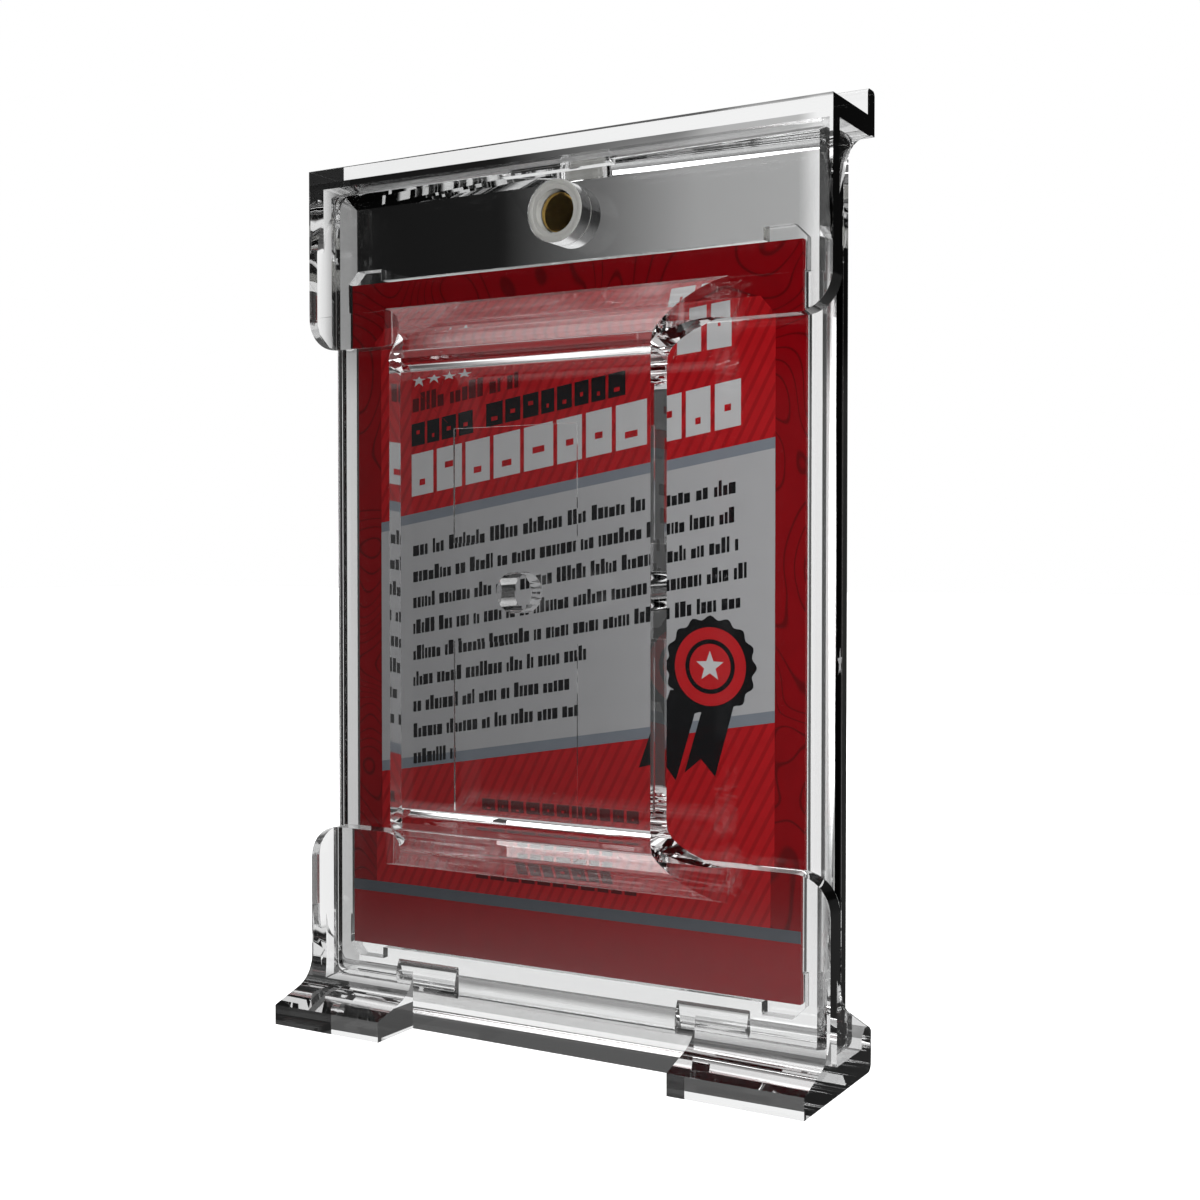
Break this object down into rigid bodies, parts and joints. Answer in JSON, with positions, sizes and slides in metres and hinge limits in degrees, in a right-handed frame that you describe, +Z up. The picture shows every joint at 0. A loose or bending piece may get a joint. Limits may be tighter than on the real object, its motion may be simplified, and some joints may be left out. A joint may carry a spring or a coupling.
{
  "type": "magnetic trading card holder with display bracket",
  "caption": "Clear two-half magnetic card holder with a card inside, standing in a clear I-shaped moulded bracket that rests on two feet or screws to a wall.",
  "frame": {"origin": "middle of the bounding box's base, on the surface the bracket stands on", "axes": "+Z up, -Y the side the card is displayed on, +Y the wall side, +X to the right seen from the display side"},
  "size_m": [0.0754, 0.0206, 0.1169],
  "materials": {
    "bracket_clear": "polished clear moulding",
    "shell_clear": "polished clear moulding",
    "magnet_plate": "gold plated, satin",
    "sleeve_frosted": "frosted",
    "card_print": "printed coated card"
  },
  "bodies": {
    "bracket": {"display_bracket": "bracket_clear"},
    "slab": {"rear_shell": "shell_clear", "rear_magnet": "magnet_plate", "rear_magnet_sleeve": "sleeve_frosted", "trading_card": "card_print"},
    "lid": {"front_shell": "shell_clear", "front_magnet": "magnet_plate", "front_magnet_sleeve": "sleeve_frosted"}
  },
  "joints": [
    {"name": "slab_tilt", "type": "hinge", "parent": "bracket", "child": "slab", "pos_m": [0, -0.00595, 0.00515], "axis": [1, 0, 0], "range_deg": [0, 10]},
    {"name": "lid_open", "type": "hinge", "parent": "slab", "child": "lid", "pos_m": [0, -0.00595, 0.00515], "axis": [1, 0, 0], "range_deg": [0, 35]}
  ]
}
